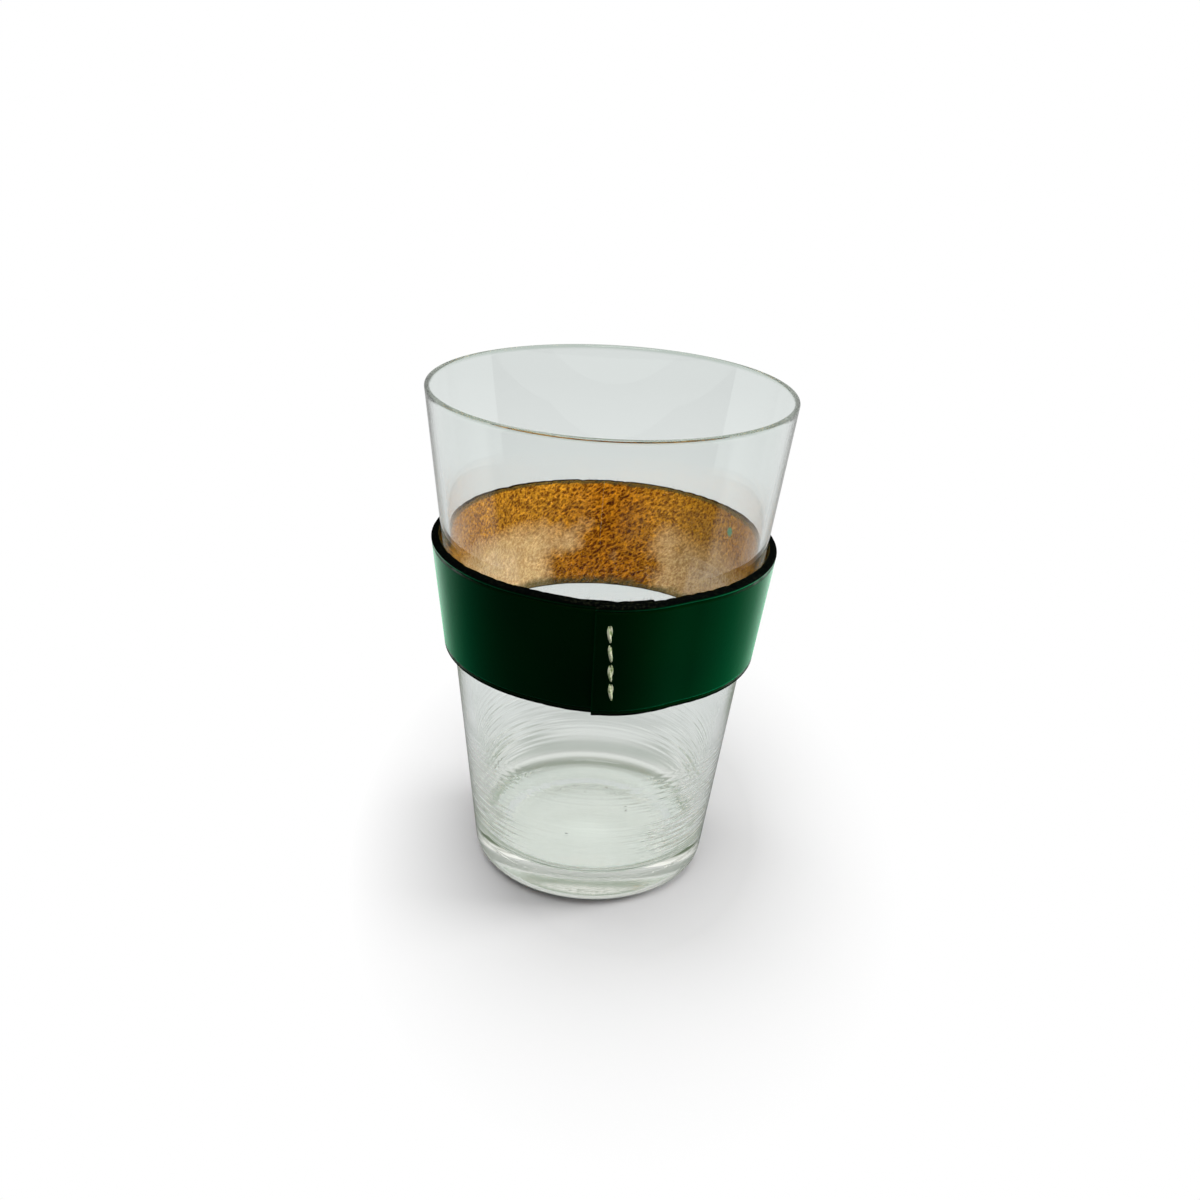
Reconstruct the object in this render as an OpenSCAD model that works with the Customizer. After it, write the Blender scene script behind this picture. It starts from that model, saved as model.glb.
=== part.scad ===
// A tapered drinking glass with a stitched leather grip band round its middle.
// The glass stands on Z = 0 with its axis on +Z, and the band's lap seam faces -Y.
// The band is one strip of leather. Its outer end lies over its inner end and is sewn to it.

/* [Tumbler] */
// Height of the glass from the table to the rim
glass_height = 128.5; // [110:0.5:145]
// Outer diameter at the rim
rim_diameter = 90; // [84:0.5:96]
// Diameter where the outer wall's line would meet the table
foot_diameter = 60.2; // [54:0.1:66]
// Wall thickness at the rim
rim_wall = 1.25; // [1:0.05:2]
// Wall thickness level with the inner floor
low_wall = 3; // [2:0.1:4]
// Thickness of the solid base
base_thickness = 9; // [6:0.5:14]
// Radius of the rounded heel
heel_radius = 5.5; // [3:0.5:8]
// Radius where the inner wall turns into the inner floor
inner_corner_radius = 4; // [2:0.5:7]
// Height of the hollow under the base
underside_rise = 1.2; // [0.5:0.1:2.5]
// Width of the flat ring that the glass stands on
bearing_ring_width = 2.5; // [1.5:0.5:4]

/* [Leather band] */
// Width of the strip, measured along the glass wall
band_width = 29.5; // [22:0.5:36]
// Height of the strip's lower inner edge above the table
band_bottom = 61.4; // [45:0.1:75]
// Thickness of the leather
leather_thickness = 2.2; // [1.8:0.1:2.8]
// Gap between the glass and the strip's lower edge
low_gap = 0.15; // [0.1:0.05:0.4]
// Gap between the glass and the strip's upper edge
high_gap = 0.4; // [0.2:0.05:0.8]
// Length of the overlap at the seam
lap_length = 13; // [10:0.5:18]
// Thickness of the pared inner end
inner_end_thickness = 0.6; // [0.5:0.1:1.2]
// Thickness of the pared outer end
outer_end_thickness = 1.05; // [0.9:0.05:1.6]
// Length over which the outer layer comes down to the glass
outer_settle_length = 24; // [20:0.5:32]
// Length over which the inner layer leaves the glass
inner_settle_length = 17; // [12:0.5:24]
// Gap between the two layers of the lap
layer_gap = 0.08; // [0.06:0.01:0.15]
// Radius of the burnished outer edges
edge_radius = 0.6; // [0.3:0.1:0.8]
// Radius of the inner edges
inner_edge_radius = 0.3; // [0.1:0.1:0.5]
// Distance of each creased line from its edge
crease_distance = 1.3; // [1.2:0.1:3]
// Width of a creased line
crease_width = 0.6; // [0.4:0.1:0.7]
// Depth of a creased line
crease_depth = 0.15; // [0.1:0.05:0.3]

/* [Stitching] */
// Number of stitches that show
stitch_count = 4; // [3:1:4]
// Distance from one stitching hole to the next
stitch_pitch = 5.2; // [4:0.1:5.6]
// Diameter of the waxed thread
thread_diameter = 0.8; // [0.6:0.05:1]
// Diameter of the awl holes, each filled by two passes of the thread
hole_diameter = 1.2; // [1.1:0.05:1.5]
// Widest part of a stitch on the outside
stitch_belly = 1.6; // [1.2:0.1:2]
// How far a stitch stands out of the leather
stitch_proud = 0.5; // [0.3:0.05:0.6]
// Distance from the raw outer end to the middle of the stitch row
row_inset = 3.8; // [3:0.1:5]
// How far the row's lower end stands to the right of its upper end
row_lean = 1.4; // [0:0.1:2]
// Clearance between the thread and the holes' walls
thread_gap = 0.05; // [0.03:0.01:0.08]
// Gap between the inner stitches and the leather
inside_gap = 0.15; // [0.12:0.01:0.2]
// How far the stitches inside hold the lap off the glass
stitch_standoff = 0.8; // [0.75:0.05:1]

/* [Hidden] */

// Glass wall: the outer and the inner wall are straight lines in section
glass_segments = 96;
arc_steps = 8;
rim_round = rim_wall / 2;
straight_top = glass_height - rim_round;
outer_slope = (rim_diameter - foot_diameter) / 2 / straight_top;
outer_lean = atan(outer_slope);
floor_inner_radius = glass_radius(base_thickness) - low_wall;
inner_slope = (rim_diameter / 2 - rim_wall - floor_inner_radius) / (straight_top - base_thickness);
inner_lean = atan(inner_slope);
heel_centre = foot_diameter / 2 + outer_slope * heel_radius - heel_radius / cos(outer_lean);
hollow_radius = heel_centre - bearing_ring_width;
corner_centre = floor_inner_radius + inner_slope * inner_corner_radius
    - inner_corner_radius / cos(inner_lean);

// Band: its inner face is a cone a little wider than the glass
band_rise = band_width * cos(outer_lean);
band_slope = outer_slope + (high_gap - low_gap) / band_rise;
band_lean = atan(band_slope);
band_low_radius = glass_radius(band_bottom) + low_gap;
band_middle_radius = band_low_radius + band_width / 2 * sin(band_lean) + leather_thickness;
lap_rise = stitch_standoff + layer_gap + outer_end_thickness;
lap_angle = arc_angle(lap_length);
outer_settle_angle = arc_angle(outer_settle_length);
inner_settle_angle = arc_angle(inner_settle_length);
row_angle = arc_angle(row_inset);
lean_angle = arc_angle(row_lean);
raw_end_bearing = -91.3;
ring_step = 4;
edge_steps = 3;
inner_edge_steps = 1;
settle_power = 1.5;

// Stitches: a row of spindles outside, a plain run of thread inside, and legs through the holes
tip_share = 0.25;
spindle_steps = 8;
thread_segments = 24;
bed_segments = 12;
row_start = (band_width - stitch_count * stitch_pitch) / 2;
outer_sink = stitch_belly / 2 - stitch_proud;
stitch_tip = stitch_belly * tip_share / 2;
leg_radius = hole_diameter / 2 - thread_gap;
leg_past_outside = stitch_tip + thread_gap;
leg_past_inside = thread_diameter / 2 + thread_gap;
hole_past_outside = outer_sink + edge_radius;

// Outer radius of the glass at a height
function glass_radius(z) = foot_diameter / 2 + outer_slope * z;

// Angle of a length measured round the middle of the band
function arc_angle(length) = length / band_middle_radius * 180 / PI;

// Points of an arc in the plane, from one angle to the other
function arc(centre, radius, from, to, steps) =
    [for (i = [0:steps])
        let (a = from + (to - from) * i / steps)
        centre + radius * [cos(a), sin(a)]];

// Half a cosine, 1 at share 0 and 0 from share 1 on
function settle(share) = (1 + cos(180 * min(max(share, 0), 1))) / 2;

// How far the outer layer has lifted, from 1 at its raw end to 0 where it lies on the glass
function outer_lift(angle) = settle(pow(max(angle / outer_settle_angle, 0), settle_power));

// Thickness of the outer layer, where turn is the angle walked from its pared raw end
function outer_thickness(turn) =
    leather_thickness - (leather_thickness - outer_end_thickness) * max(1 - turn / lap_angle, 0);

// Inner face of the outer layer above the band's cone
function outer_face_depth(turn) = lap_rise * outer_lift(turn) + leather_thickness - outer_thickness(turn);

// Thickness of the inner layer, whole at the raw outer end and pared to its own end
function inner_thickness(turn) =
    leather_thickness - (leather_thickness - inner_end_thickness) * max(turn, 0) / lap_angle;

// Inner face of the inner layer above the band's cone
function inner_face_depth(turn) =
    turn > 0
        ? outer_face_depth(turn) - layer_gap - inner_thickness(turn)
        : stitch_standoff * settle(-turn / inner_settle_angle);

// Inner face and thickness along the strip, where walk runs from the inner end to the outer end
function strip_state(walk) =
    let (turn = lap_angle - walk, outer_turn = turn + 360)
    outer_turn < outer_settle_angle
        ? [outer_face_depth(outer_turn), outer_thickness(outer_turn)]
        : [inner_face_depth(turn), inner_thickness(turn)];

// Half section of a crease: two lips and a valley on the outer face
function crease(thickness, along) =
    [[thickness, along - crease_width / 2],
     [thickness - crease_depth, along],
     [thickness, along + crease_width / 2]];

// Section of the strip: x is the depth from the inner face, y the distance from the lower edge
function strip_section(thickness) =
    let (r = min(edge_radius, thickness / 2), q = min(inner_edge_radius, thickness / 4))
    concat(
        arc([q, q], q, 180, 270, inner_edge_steps),
        arc([thickness - r, r], r, 270, 360, edge_steps),
        crease(thickness, crease_distance),
        crease(thickness, band_width - crease_distance),
        arc([thickness - r, band_width - r], r, 0, 90, edge_steps),
        arc([q, band_width - q], q, 90, 180, inner_edge_steps));

// Point of space from a bearing, a depth above the band's cone and a distance from the lower edge
function band_point(bearing, depth, along) =
    let (r = band_low_radius + depth * cos(band_lean) + along * sin(band_lean))
    [r * cos(bearing), r * sin(bearing), band_bottom - depth * sin(band_lean) + along * cos(band_lean)];

// One ring of the strip
function strip_ring(walk) =
    let (state = strip_state(walk))
    [for (p = strip_section(state[1]))
        band_point(raw_end_bearing + lap_angle - walk, state[0] + p[0], p[1])];

// Bearing and distance from the lower edge of a stitching hole
function hole_turn(index) = row_angle + lean_angle * (0.5 - index / stitch_count);
function hole_along(index) = row_start + index * stitch_pitch;

// Centre line of the stitches on the outside and on the inside of the lap
function outside_depth(index) =
    outer_face_depth(hole_turn(index)) + outer_thickness(hole_turn(index)) - outer_sink;
function inside_depth(index) =
    inner_face_depth(hole_turn(index)) - thread_diameter / 2 - inside_gap;
function hole_point(index, depth) =
    band_point(raw_end_bearing + hole_turn(index), depth, hole_along(index));

// Section of the glass, from the middle of the underside round to the middle of the inner floor
function glass_section() =
    let (dome = (hollow_radius * hollow_radius + underside_rise * underside_rise) / 2 / underside_rise,
         dome_half = asin(hollow_radius / dome))
    concat(
        arc([0, underside_rise - dome], dome, 90, 90 - dome_half, arc_steps),
        arc([heel_centre, heel_radius], heel_radius, -90, -outer_lean, arc_steps),
        arc([rim_diameter / 2 - rim_round, straight_top], rim_round, 0, 180, arc_steps),
        arc([corner_centre, base_thickness + inner_corner_radius],
            inner_corner_radius, -inner_lean, -90, arc_steps),
        [[0, base_thickness]]);

// Clear soda-lime tumbler with a thick base
module tumbler() {
    color([0.86, 0.93, 0.90, 0.4])
        rotate_extrude($fn = glass_segments)
            polygon(glass_section());
}

// Solid between rings of points, with flat ends
module swept(rings) {
    size = len(rings[0]);
    last = len(rings) - 1;
    points = [for (ring = rings) each ring];
    sides = [for (i = [0:last - 1], j = [0:size - 1])
        let (k = (j + 1) % size, a = i * size + j, b = i * size + k, c = a + size, d = b + size)
        each [[a, c, d], [a, d, b]]];
    near = [for (j = [0:size - 1]) j];
    far = [for (j = [0:size - 1]) last * size + size - 1 - j];
    polyhedron(points = points, faces = concat([near], sides, [far]));
}

// Moves its children from the origin to a point and turns their axis towards a second point
module between(start, end) {
    way = end - start;
    translate(start)
        rotate([0, acos(way[2] / norm(way)), atan2(way[1], way[0])])
            children();
}

// Spindle along +Z, narrow at both ends and widest in the middle
module spindle(length, belly, tip, segments) {
    rotate_extrude($fn = segments)
        polygon(concat(
            [[0, 0]],
            [for (i = [0:spindle_steps])
                [tip + (belly - tip) * sin(180 * i / spindle_steps), length * i / spindle_steps]],
            [[0, length]]));
}

// The thread's whole path, grown by extra on every side, with legs that end past the outer stitches
module thread_path(extra, segments, past_outside) {
    for (i = [0:stitch_count - 1]) {
        start = hole_point(i, outside_depth(i));
        end = hole_point(i + 1, outside_depth(i + 1));
        between(start, end)
            spindle(norm(end - start), stitch_belly / 2 + extra, stitch_tip + extra, segments);
        inside_start = hole_point(i, inside_depth(i));
        inside_end = hole_point(i + 1, inside_depth(i + 1));
        between(inside_start, inside_end)
            cylinder(h = norm(inside_end - inside_start), r = thread_diameter / 2 + extra, $fn = segments);
    }
    for (i = [0:stitch_count]) {
        leg_start = hole_point(i, inside_depth(i) - leg_past_inside - extra);
        leg_end = hole_point(i, outside_depth(i) + past_outside);
        between(leg_start, leg_end)
            cylinder(h = norm(leg_end - leg_start), r = leg_radius + extra, $fn = segments);
    }
}

// Strip of vegetable-tanned leather, dyed on the outside, with the suede side towards the glass
module leather_band() {
    steps = floor((360 + lap_angle) / ring_step);
    color([0.02, 0.22, 0.15])
        difference() {
            swept([for (walk = concat([for (i = [0:steps]) i * ring_step], [360 + lap_angle]))
                strip_ring(walk)]);
            thread_path(thread_gap, bed_segments, hole_past_outside);
        }
}

// One length of waxed thread, sewn to and fro through the holes of the lap
module stitching_thread() {
    color([0.80, 0.83, 0.66])
        thread_path(0, thread_segments, leg_past_outside);
}

tumbler();
leather_band();
stitching_thread();
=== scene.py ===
import math
import bpy
import numpy as np
from mathutils import Matrix, Vector


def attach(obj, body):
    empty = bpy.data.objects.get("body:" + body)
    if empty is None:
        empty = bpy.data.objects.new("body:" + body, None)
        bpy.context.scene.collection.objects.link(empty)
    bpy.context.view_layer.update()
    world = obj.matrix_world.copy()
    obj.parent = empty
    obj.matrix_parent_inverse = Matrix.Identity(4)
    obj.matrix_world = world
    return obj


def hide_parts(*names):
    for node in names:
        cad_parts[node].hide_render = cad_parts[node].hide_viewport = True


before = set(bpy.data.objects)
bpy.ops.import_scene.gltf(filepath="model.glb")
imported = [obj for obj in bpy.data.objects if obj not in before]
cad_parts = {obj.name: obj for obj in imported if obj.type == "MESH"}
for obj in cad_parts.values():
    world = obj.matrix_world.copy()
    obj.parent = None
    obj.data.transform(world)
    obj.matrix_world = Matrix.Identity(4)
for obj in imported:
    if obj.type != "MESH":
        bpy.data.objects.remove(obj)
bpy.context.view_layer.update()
millimetre = 0.001
tau = 2 * math.pi
print("frame loaded:", sorted(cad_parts))


# Camera: the photograph's viewpoint, found from the rim, the walls and the band's edges
cameraView = {
    "distance": 0.32965,  # from the glass axis, level with the table
    "height": 0.21284,
    "pitchDown": 0.40216,  # radians, as turn and roll are
    "turn": -0.00068,
    "roll": 0.05497,
    "lens": 42.0,  # millimetres, as the sensor's width is
    "sensor": 36.0,
    "clip": (0.01, 50.0),
}
# light is followed far enough to leave the glass's walls and base
bounceLimits = {"max_bounces": 200, "glossy_bounces": 160, "transmission_bounces": 40}


def makeCamera(view):
    data = bpy.data.cameras.new("photoCamera")
    data.lens = view["lens"]
    data.sensor_width = view["sensor"]
    data.clip_start, data.clip_end = view["clip"]
    camera = bpy.data.objects.new("photoCamera", data)
    bpy.context.scene.collection.objects.link(camera)
    pitch, turn, roll = view["pitchDown"], view["turn"], view["roll"]
    forward = Vector((math.sin(turn) * math.cos(pitch), math.cos(turn) * math.cos(pitch),
                      -math.sin(pitch)))
    level = Vector((math.cos(turn), -math.sin(turn), 0.0))
    upward = level.cross(forward)
    right = level * math.cos(roll) + upward * math.sin(roll)
    above = upward * math.cos(roll) - level * math.sin(roll)
    turned = Matrix((right, above, -forward)).transposed().to_4x4()
    camera.matrix_world = Matrix.Translation((0.0, -view["distance"], view["height"])) @ turned
    bpy.context.scene.camera = camera


makeCamera(cameraView)
bpy.context.scene.view_settings.view_transform = "Standard"
for limit, count in bounceLimits.items():
    setattr(bpy.context.scene.cycles, limit, count)
print("camera placed")


# Mesh helpers: every piece is a grid of points, worked out as whole arrays
def gridFaces(rows, columns):
    # a quad for each cell of a grid whose last column joins the first
    i, j = np.meshgrid(np.arange(rows - 1), np.arange(columns), indexing="ij")
    here, below, beside = i * columns, (i + 1) * columns, (j + 1) % columns
    return np.stack([here + j, below + j, below + beside, here + beside], -1).reshape(-1, 4)


def endFaces(rows, columns):
    # one face over each open end of such a grid
    return [list(range(columns)), list(range(rows * columns - 1, (rows - 1) * columns - 1, -1))]


def addPiece(name, points, faces, smooth=True):
    mesh = bpy.data.meshes.new(name)
    mesh.from_pydata(points.tolist(), [], [list(face) for face in faces])
    mesh.polygons.foreach_set("use_smooth", np.full(len(mesh.polygons), smooth))
    mesh.update()
    piece = bpy.data.objects.new(name, mesh)
    bpy.context.scene.collection.objects.link(piece)
    return piece


def addAttribute(piece, name, values):
    layer = piece.data.attributes.new(name, "FLOAT", "POINT")
    layer.data.foreach_set("value", np.asarray(values, np.float32).ravel())


def settle(share):
    # half a cosine: 1 at share 0 and 0 from share 1 on
    return (1 + np.cos(np.pi * np.clip(share, 0, 1))) / 2


def smoothStep(low, high, value):
    # share * share * (3 - 2 * share), where share runs from 0 at low to 1 at high
    share = np.clip((value - low) / (high - low), 0, 1)
    return share * share * (3 - 2 * share)


def arcPoints(centre, radius, start, end, count):
    # centre + radius * (cos a, sin a) for count angles from start to end, in degrees
    angle = np.radians(np.linspace(start, end, count))
    return np.stack([centre[0] + radius * np.cos(angle), centre[1] + radius * np.sin(angle)], -1)


def linePoints(start, end, count, crowded=False):
    # start * (1 - share) + end * share without the two ends, evenly spaced or crowded near both of them
    share = np.linspace(0, 1, count + 2)[1:-1, None]
    if crowded:
        share = 1 - settle(share)
    return np.asarray(start) * (1 - share) + np.asarray(end) * share


def tubeAlong(path, radius, sides, aside=(1.0, 0.3, 0.1)):
    # rings square to the path: point + radius * (cos a * side + sin a * other), closed at both ends
    # aside is a direction that no path of this object runs in
    ahead = np.gradient(path, axis=0)
    ahead /= np.linalg.norm(ahead, axis=1)[:, None]
    side = np.cross(ahead, aside)
    side /= np.linalg.norm(side, axis=1)[:, None]
    other = np.cross(ahead, side)
    angle = np.arange(sides) / sides * tau
    ring = np.cos(angle)[None, :, None] * side[:, None] + np.sin(angle)[None, :, None] * other[:, None]
    points = (path[:, None] + radius[:, None, None] * ring).reshape(-1, 3)
    return points, gridFaces(len(path), sides).tolist() + endFaces(len(path), sides)


def joinShells(shells):
    offset, points, faces = 0, [], []
    for shellPoints, shellFaces in shells:
        points.append(shellPoints)
        faces += [[index + offset for index in face] for face in shellFaces]
        offset += len(shellPoints)
    return np.concatenate(points), faces


# Node helpers: a value is a socket or a plain number or colour
def addNode(tree, kind, **settings):
    node = tree.nodes.new(kind)
    for key, value in settings.items():
        setattr(node, key, value)
    return node


def plug(tree, socket, value):
    if isinstance(value, bpy.types.NodeSocket):
        tree.links.new(value, socket)
    else:
        socket.default_value = value


def newMaterial(name):
    material = bpy.data.materials.new(name)
    material.use_nodes = True
    tree = material.node_tree
    return material, tree, tree.nodes["Principled BSDF"]


def setInputs(shader, values):
    for key, value in values.items():
        shader.inputs[key].default_value = value


def makeMottleGroup():
    # noise of one size, spread between Low and High and clamped to 0..1
    group = bpy.data.node_groups.new("mottle", "ShaderNodeTree")
    vector = group.interface.new_socket("Vector", in_out="INPUT", socket_type="NodeSocketVector")
    vector.default_value = (0, 0, 0)
    for name, value in (("Scale", 100.0), ("Detail", 3.0), ("Low", 0.4), ("High", 0.6)):
        socket = group.interface.new_socket(name, in_out="INPUT", socket_type="NodeSocketFloat")
        socket.default_value = value
    group.interface.new_socket("Mask", in_out="OUTPUT", socket_type="NodeSocketFloat")
    enter = addNode(group, "NodeGroupInput")
    leave = addNode(group, "NodeGroupOutput")
    noise = addNode(group, "ShaderNodeTexNoise")
    spread = addNode(group, "ShaderNodeMapRange")
    for name in ("Vector", "Scale", "Detail"):
        group.links.new(enter.outputs[name], noise.inputs[name])
    group.links.new(noise.outputs["Fac"], spread.inputs["Value"])
    group.links.new(enter.outputs["Low"], spread.inputs["From Min"])
    group.links.new(enter.outputs["High"], spread.inputs["From Max"])
    group.links.new(spread.outputs["Result"], leave.inputs["Mask"])
    return group


mottleGroup = makeMottleGroup()


def mottle(tree, vector, pattern):
    # a pattern is the noise's scale, its detail, and the low and high values it is spread between
    node = addNode(tree, "ShaderNodeGroup", node_tree=mottleGroup)
    tree.links.new(vector, node.inputs["Vector"])
    setInputs(node, dict(zip(("Scale", "Detail", "Low", "High"), pattern)))
    return node.outputs["Mask"]


def mixColour(tree, mask, first, second, blend="MIX"):
    node = addNode(tree, "ShaderNodeMix", data_type="RGBA", blend_type=blend)
    sockets = {s.identifier: s for s in node.inputs}
    for key, value in (("Factor_Float", mask), ("A_Color", first), ("B_Color", second)):
        plug(tree, sockets[key], value)
    return {s.identifier: s for s in node.outputs}["Result_Color"]


def shade(tree, colour, level):
    return mixColour(tree, 1.0, colour, level, "MULTIPLY")


def grey(level):
    return (level, level, level, 1.0)


def calculate(tree, operation, *values, clamp=False):
    node = addNode(tree, "ShaderNodeMath", operation=operation, use_clamp=clamp)
    for socket, value in zip(node.inputs, values):
        plug(tree, socket, value)
    return node.outputs[0]


def multiply(tree, first, second):
    return calculate(tree, "MULTIPLY", first, second)


def add(tree, first, second):
    return calculate(tree, "ADD", first, second)


def weigh(tree, share, first, second):
    # a share of the first value and the rest of the second
    return add(tree, multiply(tree, first, share), multiply(tree, second, 1 - share))


def awayFrom(tree, value, level):
    # how far a value is from a level, on either side
    return calculate(tree, "ABSOLUTE", calculate(tree, "SUBTRACT", value, level))


def spreadValue(tree, value, fromLow, fromHigh, toLow=0.0, toHigh=1.0):
    node = addNode(tree, "ShaderNodeMapRange")
    tree.links.new(value, node.inputs["Value"])
    setInputs(node, {"From Min": fromLow, "From Max": fromHigh, "To Min": toLow, "To Max": toHigh})
    return node.outputs["Result"]


def readAttribute(tree, name):
    return addNode(tree, "ShaderNodeAttribute", attribute_name=name).outputs["Fac"]


def objectPlace(tree):
    return addNode(tree, "ShaderNodeTexCoord").outputs["Object"]


def splitPlace(tree, place):
    node = addNode(tree, "ShaderNodeSeparateXYZ")
    tree.links.new(place, node.inputs[0])
    return node.outputs


def vectorStep(tree, operation, vector, other, output="Vector"):
    node = addNode(tree, "ShaderNodeVectorMath", operation=operation)
    tree.links.new(vector, node.inputs[0])
    if other is not None:
        node.inputs[1].default_value = other
    return node.outputs[output]


def nearPoint(tree, place, centre, radius, core=0.7):
    # 1 within the core's share of the radius of a point, and 0 beyond the radius
    away = vectorStep(tree, "DISTANCE", place, centre, "Value")
    return spreadValue(tree, away, radius, radius * core)


def bumpFrom(tree, shader, height, bump):
    # a bump is its strength and its distance in metres
    node = addNode(tree, "ShaderNodeBump")
    setInputs(node, dict(zip(("Strength", "Distance"), bump)))
    tree.links.new(height, node.inputs["Height"])
    tree.links.new(node.outputs["Normal"], shader.inputs["Normal"])


# Tumbler: clear glass, turned from its section, with faint ripples low on the inner wall
tumbler = {
    # millimetres
    "height": 128.5, "rimDiameter": 90.0, "footDiameter": 60.2, "rimWall": 1.25, "lowWall": 3.0,
    "base": 9.0, "heel": 5.5, "innerCorner": 4.0, "undersideRise": 1.2, "bearingRing": 2.5,
    "columns": 256, "wallRows": 16, "rippleRows": 200, "rimRows": 14, "cornerRows": 16, "curveRows": 24,
    "ringRows": 2,
    # each ripple is its pitch, its share, the height in which it swells and fades, and its shift in radians
    "ripples": ((1.7, 0.5, 17.0, 0.7), (1.0, 0.25, 11.0, 2.0), (3.0, 0.25, 29.0, 4.1)),
    "rippleDepth": 0.44, "rippleSwell": 0.7, "rippleWaves": (0.8, 0.1),
    # they fade in below the top, are whole at the full height and fade out from the foot to the end
    "rippleTop": 42.0, "rippleFull": 17.0, "rippleFoot": 13.0, "rippleBackFoot": 24.0, "rippleEnd": 10.5,
    "rippleBack": (-0.2, 0.4), "rippleAhead": 0.03, "rippleTurn": 0.12, "ripplePower": 3.5,
    # places and reaches in metres, and noises as mottle reads them
    "tint": (0.985, 0.995, 0.99, 1.0), "indexOfRefraction": 1.5, "roughness": 0.0,
    # painted shade: the tint of the rim's top, and the depths below the top over which it comes in
    "rimShadeTint": (0.63, 0.70, 0.64, 1.0), "rimDepths": (0.0012, 0.00048),
    "speck": (0.25, 0.27, 0.25, 1.0), "speckRadius": 0.0005,
    "specks": ((0.0102, 0.0035, 0.009), (-0.0058, -0.0105, 0.009)),
    "scratches": (900.0, 4.0, 0.35, 0.7), "scratchBump": (0.5, 0.00005), "scratchReach": (0.0004, 0.0002),
}


def glassWall(shape):
    # the outer wall is the line r = foot / 2 + slope * z up to the start of the rounded rim
    top = shape["height"] - shape["rimWall"] / 2
    slope = (shape["rimDiameter"] - shape["footDiameter"]) / 2 / top
    return shape["footDiameter"] / 2, slope, top


def glassSection(shape):
    # underside, heel, outer wall, rim, inner wall, inner corner and floor, as (r, z) in millimetres
    foot, slope, top = glassWall(shape)
    lean = math.degrees(math.atan(slope))
    floor, corner, rimRound = shape["base"], shape["innerCorner"], shape["rimWall"] / 2
    floorRadius = foot + slope * floor - shape["lowWall"]
    innerSlope = (shape["rimDiameter"] / 2 - shape["rimWall"] - floorRadius) / (top - floor)
    innerLean = math.degrees(math.atan(innerSlope))
    heelCentre = foot + slope * shape["heel"] - shape["heel"] / math.cos(math.radians(lean))
    hollow = heelCentre - shape["bearingRing"]
    rise = shape["undersideRise"]
    dome = (hollow * hollow + rise * rise) / 2 / rise
    domeHalf = math.degrees(math.asin(hollow / dome))
    cornerRadius = floorRadius + innerSlope * corner - corner / math.cos(math.radians(innerLean))
    under = arcPoints((0, rise - dome), dome, 90, 90 - domeHalf, shape["curveRows"])
    heel = arcPoints((heelCentre, shape["heel"]), shape["heel"], -90, -lean, shape["curveRows"])
    rim = arcPoints((shape["rimDiameter"] / 2 - rimRound, top), rimRound, 0, 180, shape["rimRows"])
    turn = arcPoints((cornerRadius, floor + corner), corner, -innerLean, -90, shape["cornerRows"])
    rippleTop = np.array([floorRadius + innerSlope * (shape["rippleTop"] - floor), shape["rippleTop"]])
    flat = linePoints(turn[-1], (0, floor), shape["curveRows"])
    section = np.concatenate([
        under[1:], linePoints(under[-1], heel[0], shape["ringRows"]), heel,
        linePoints(heel[-1], rim[0], shape["wallRows"], crowded=True), rim,
        linePoints(rim[-1], rippleTop, shape["wallRows"], crowded=True), rippleTop[None],
        linePoints(rippleTop, turn[0], shape["rippleRows"]), turn, flat])
    inner = np.zeros(len(section))
    inner[len(section) - len(flat) - len(turn) - shape["rippleRows"] - 1:] = 1
    return section, inner, rise


def rippleGrowth(shape, turn, height):
    # a sum of sines down the wall, sin(height / pitch + a wave of the turn), each swelling and fading with
    # height, times |cos turn| to a power, so that they are strongest at the two sides
    wave, smallWave = shape["rippleWaves"]
    ripple = 0
    for pitch, share, swell, shift in shape["ripples"]:
        phase = height / pitch * tau + wave * np.sin(turn + shift) + smallWave * np.sin(3 * turn + shift)
        growth = 1 + shape["rippleSwell"] * np.sin(height / swell * tau + shift)
        ripple = ripple + share * np.sin(phase) * growth
    fade = smoothStep(shape["rippleTop"], shape["rippleFull"], height)
    # at the back the ripples stop higher, clear of the rounded inner corner
    raised = (shape["rippleBackFoot"] - shape["rippleFoot"]) * smoothStep(*shape["rippleBack"], np.sin(turn))
    fade = fade * smoothStep(shape["rippleEnd"], shape["rippleFoot"] + raised, height)
    ahead = shape["rippleAhead"]
    sides = ahead + (1 - ahead) * np.abs(np.cos(turn + shape["rippleTurn"])) ** shape["ripplePower"]
    return shape["rippleDepth"] * ripple * fade * sides


def makeTumbler(shape):
    # the section turned round the axis: x = radius * cos turn, y = radius * sin turn
    section, inner, rise = glassSection(shape)
    turn = np.arange(shape["columns"]) / shape["columns"] * tau
    radius, height = section[:, :1], section[:, 1:]
    grown = radius + rippleGrowth(shape, turn, height) * inner[:, None]
    points = np.stack([grown * np.cos(turn), grown * np.sin(turn), np.broadcast_to(height, grown.shape)], -1)
    points = points.reshape(-1, 3)
    rows, columns = len(section), shape["columns"]
    poles = np.array([[0, 0, rise], [0, 0, shape["base"]]])
    quads = gridFaces(rows, columns)[:, ::-1]
    ring = np.arange(columns)
    after = (ring + 1) % columns
    topRow = (rows - 1) * columns
    lowFan = np.stack([np.full(columns, len(points)), after, ring], -1)
    highFan = np.stack([np.full(columns, len(points) + 1), ring + topRow, after + topRow], -1)
    points = np.concatenate([points, poles]) * millimetre
    return addPiece("tumblerGlass", points, quads.tolist() + lowFan.tolist() + highFan.tolist())


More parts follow.
